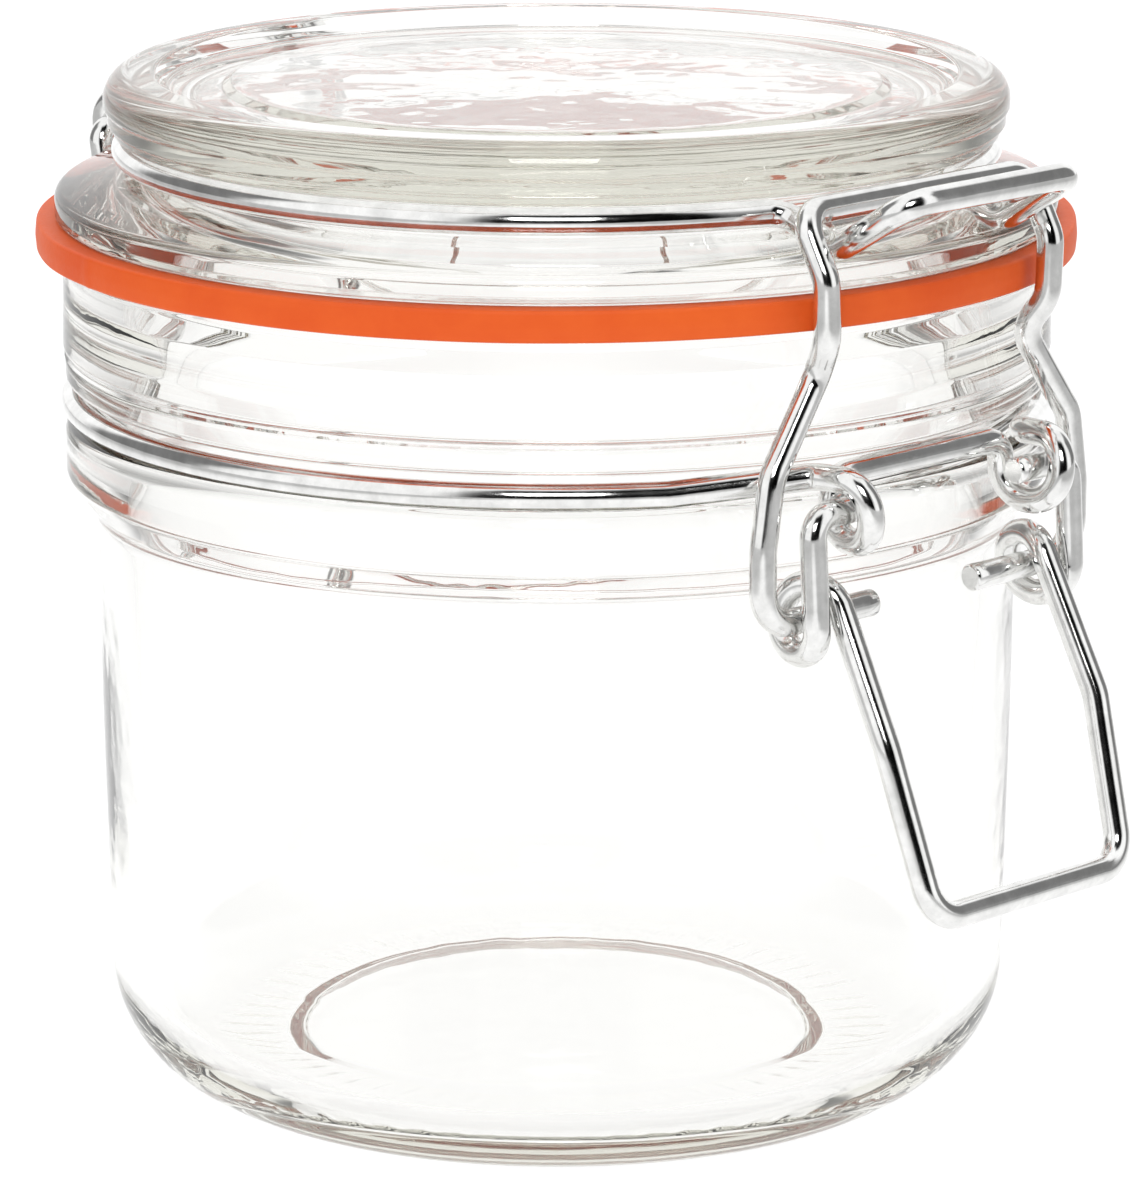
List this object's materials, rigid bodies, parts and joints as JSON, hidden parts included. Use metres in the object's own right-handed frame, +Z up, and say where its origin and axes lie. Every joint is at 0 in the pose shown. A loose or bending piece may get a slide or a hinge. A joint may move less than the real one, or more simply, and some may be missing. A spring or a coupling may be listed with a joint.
{
  "type": "clip-top glass storage jar",
  "caption": "Squat glass storage jar with a hinged glass lid, flat rubber seal and over-centre wire clamp closure.",
  "frame": {"origin": "centre of the flat standing ring under the base, on the jar's axis", "axes": "+Z up along the jar's axis, -Y towards the clamp closure, +Y towards the lid hinge, X along both hinge pins"},
  "size_m": [0.095, 0.1121, 0.094],
  "materials": {
    "clear_glass": "clear pressed glass, smooth, faint green-grey edge tint",
    "orange_rubber": "matte natural rubber",
    "bright_steel": "bright drawn steel wire"
  },
  "bodies": {
    "jar": {"glass_jar": "clear_glass", "neck_wire": "bright_steel"},
    "lid": {"glass_lid": "clear_glass", "lid_wire": "bright_steel", "sealing_ring": "orange_rubber"},
    "lever": {"clamp_lever": "bright_steel"},
    "link": {"clamp_link": "bright_steel"}
  },
  "joints": [
    {"name": "lid_hinge", "type": "hinge", "parent": "jar", "child": "lid", "pos_m": [0, 0.0487, 0.084], "axis": [-1, 0, 0], "range_deg": [0, 110]},
    {"name": "lever_pivot", "type": "hinge", "parent": "jar", "child": "lever", "pos_m": [0, -0.0477, 0.0627], "axis": [-1, 0, 0], "range_deg": [0, 90]},
    {"name": "link_pivot", "type": "hinge", "parent": "lever", "child": "link", "pos_m": [0, -0.0454, 0.0532], "axis": [-1, 0, 0], "range_deg": [-68.4, 0]}
  ],
  "couplings": [
    {"joint": "link_pivot", "follows": "lever_pivot", "ratio": -0.76}
  ]
}
